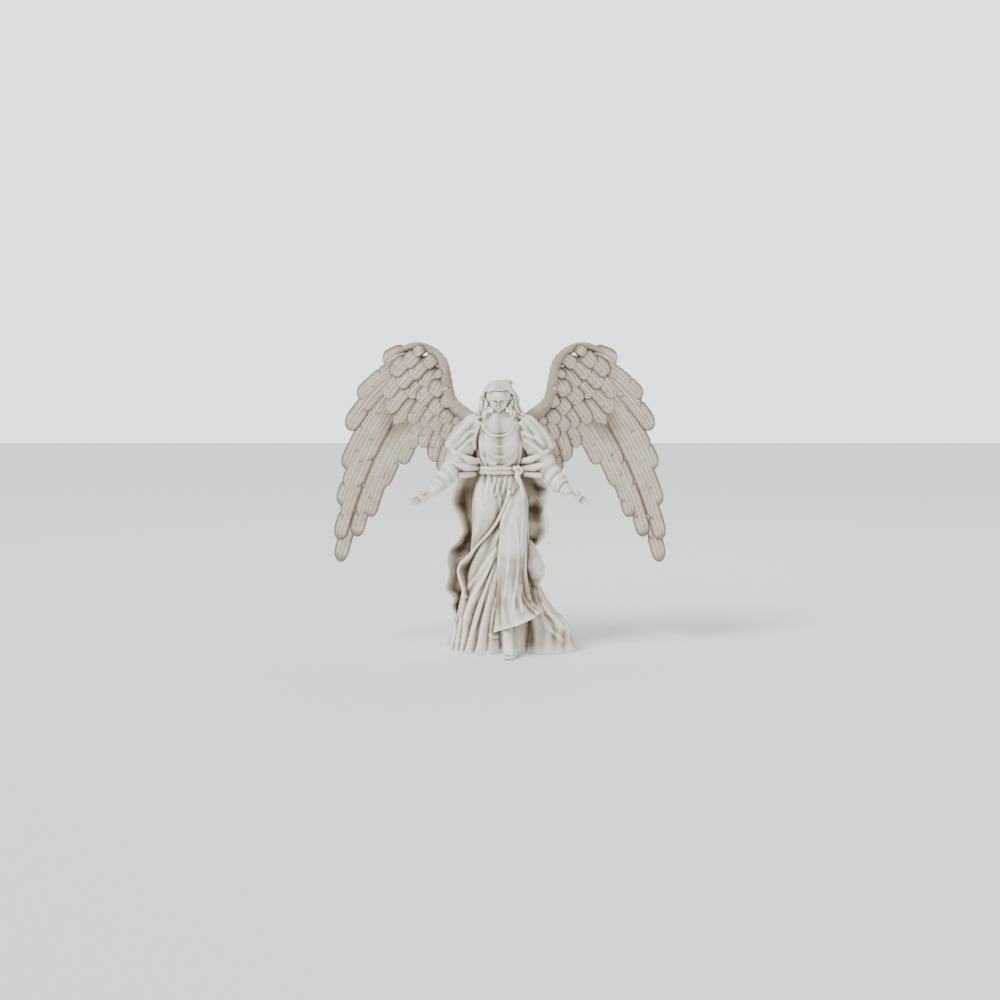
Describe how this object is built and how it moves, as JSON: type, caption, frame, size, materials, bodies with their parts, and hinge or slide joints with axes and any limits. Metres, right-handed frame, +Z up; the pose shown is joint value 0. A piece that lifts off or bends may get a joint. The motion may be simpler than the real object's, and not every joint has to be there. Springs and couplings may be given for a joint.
{
  "type": "angel figurine",
  "caption": "Standing angel figurine with spread feathered wings, draped robe and cape, bowed head and open hands, cast in pale stone-coloured resin",
  "frame": {"origin": "on the floor, in the underside, under the middle of the wing span", "axes": "+X to the viewer's right along the wing span, -Y to the front that the figure faces, +Z up"},
  "size_m": [0.3218, 0.1042, 0.2989],
  "materials": {
    "cast_stone": "matt cast stone-powder resin, off-white, with a thin brownish wash left in the hollows"
  },
  "bodies": {
    "root": {"angel_figurine": "cast_stone"}
  },
  "joints": []
}
